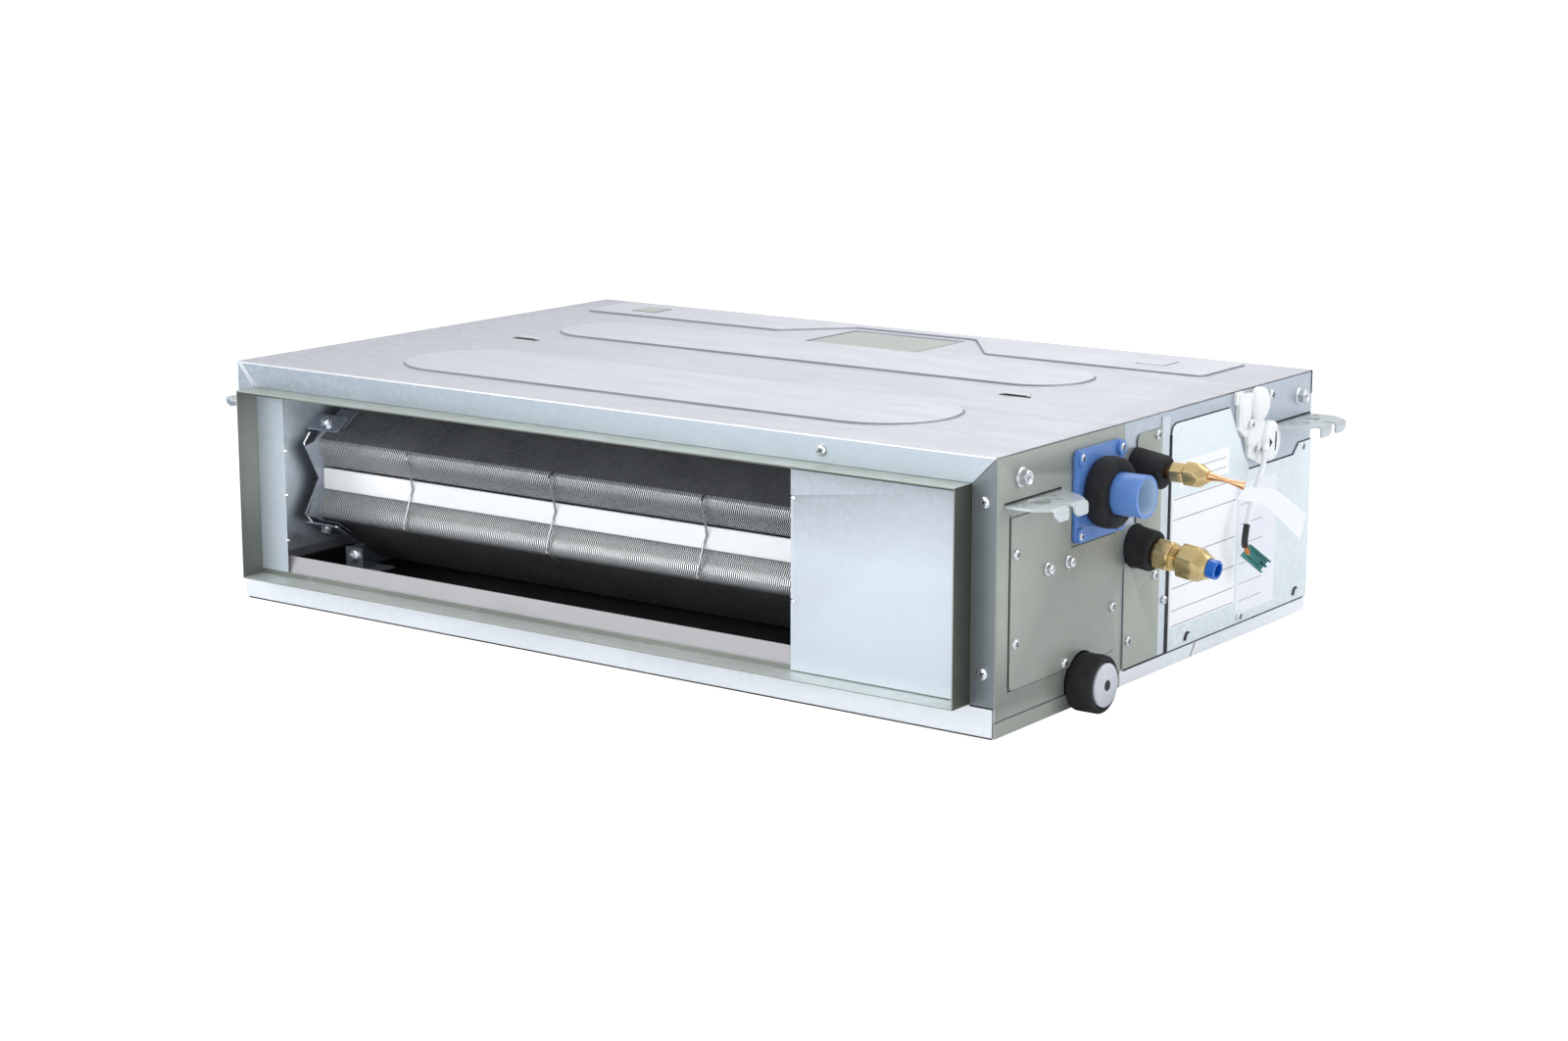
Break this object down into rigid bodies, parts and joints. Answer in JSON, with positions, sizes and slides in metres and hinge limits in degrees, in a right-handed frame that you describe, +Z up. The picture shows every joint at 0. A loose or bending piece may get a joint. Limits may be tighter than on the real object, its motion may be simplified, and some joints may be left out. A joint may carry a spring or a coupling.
{
  "type": "ducted indoor unit",
  "caption": "Slim ducted air-conditioning indoor unit: flat sheet-metal case with hanging lugs, V-shaped coil behind the supply collar, twin blowers, drain pump and side pipe connections.",
  "frame": {"origin": "middle of the case's underside", "axes": "+X towards the pipe and electrical side, -Y out of the supply collar, +Z up"},
  "size_m": [0.9139, 0.5223, 0.2061],
  "materials": {
    "galvanised": "galvanised",
    "film": "galvanised under a clear film",
    "sill": "satin",
    "fins": "mill",
    "wire": "zinc",
    "copper": "drawn copper",
    "brass": "machined",
    "white_plastic": "moulded",
    "nylon": "glossy",
    "black_plastic": "moulded",
    "foam": "closed-cell foam",
    "pan_foam": "coated foam",
    "grey_plastic": "moulded",
    "blue_plastic": "glossy",
    "cap_blue": "moulded",
    "green_plastic": "moulded",
    "board": "printed board"
  },
  "bodies": {
    "case": {"top_panel": "galvanised", "bottom_panel": "galvanised", "left_side_panel": "galvanised", "right_front_panel": "film", "right_rear_panel": "galvanised", "supply_collar": "film", "closing_plate": "galvanised", "drip_sill": "sill", "return_collar": "galvanised", "access_panel": "film", "pipe_cover_plate": "film", "electrical_box": "galvanised", "electrical_cover": "galvanised", "control_board": "board", "cable_clamp_upper": "nylon", "cable_clamp_lower": "nylon", "hanger_front_right": "galvanised", "hanger_front_left": "galvanised", "hanger_rear_right": "galvanised", "hanger_rear_left": "galvanised", "coil_fins_upper": "fins", "coil_fins_lower": "fins", "coil_left_plate": "galvanised", "coil_right_plate": "galvanised", "coil_nose_strip": "white_plastic", "coil_clip_left": "wire", "coil_clip_middle": "wire", "coil_clip_right": "wire", "drain_pan": "pan_foam", "gravity_drain_sleeve": "foam", "pump_housing": "white_plastic", "pump_bracket": "galvanised", "lift_hose": "foam", "drain_outlet": "blue_plastic", "drain_outlet_sleeve": "foam", "liquid_sleeve": "foam", "liquid_union": "brass", "liquid_nut": "brass", "liquid_tail": "copper", "liquid_distributor": "copper", "gas_sleeve": "foam", "gas_union": "brass", "gas_nut": "brass", "gas_plug": "cap_blue", "gas_header": "copper", "fan_partition": "galvanised", "scroll_left": "black_plastic", "scroll_right": "black_plastic", "fan_motor": "black_plastic", "motor_cradle": "galvanised", "sensor_lead": "nylon", "lead_connector": "green_plastic", "pipe_tag": "nylon"},
    "fan_rotor": {"fan_shaft": "wire", "blower_wheel_left": "white_plastic", "blower_wheel_right": "white_plastic"},
    "pump_rotor": {"pump_impeller": "nylon"},
    "float_switch": {"pump_float": "nylon"},
    "filter": {"return_filter": "black_plastic"},
    "drain_plug": {"gravity_drain_plug": "grey_plastic"}
  },
  "joints": [
    {"name": "fan_spin", "type": "hinge", "parent": "case", "child": "fan_rotor", "pos_m": [-0.03, 0.128, 0.096], "axis": [1, 0, 0], "continuous": true},
    {"name": "pump_spin", "type": "hinge", "parent": "case", "child": "pump_rotor", "pos_m": [0.3, -0.105, 0.046], "axis": [0, 0, 1], "continuous": true},
    {"name": "float_rise", "type": "slide", "parent": "case", "child": "float_switch", "axis": [0, 0, 1], "range_m": [0, 0.012]},
    {"name": "filter_slide", "type": "slide", "parent": "case", "child": "filter", "axis": [-1, 0, 0], "range_m": [0, 0.4]},
    {"name": "drain_plug_pull", "type": "slide", "parent": "case", "child": "drain_plug", "axis": [1, 0, 0], "range_m": [0, 0.02]}
  ]
}
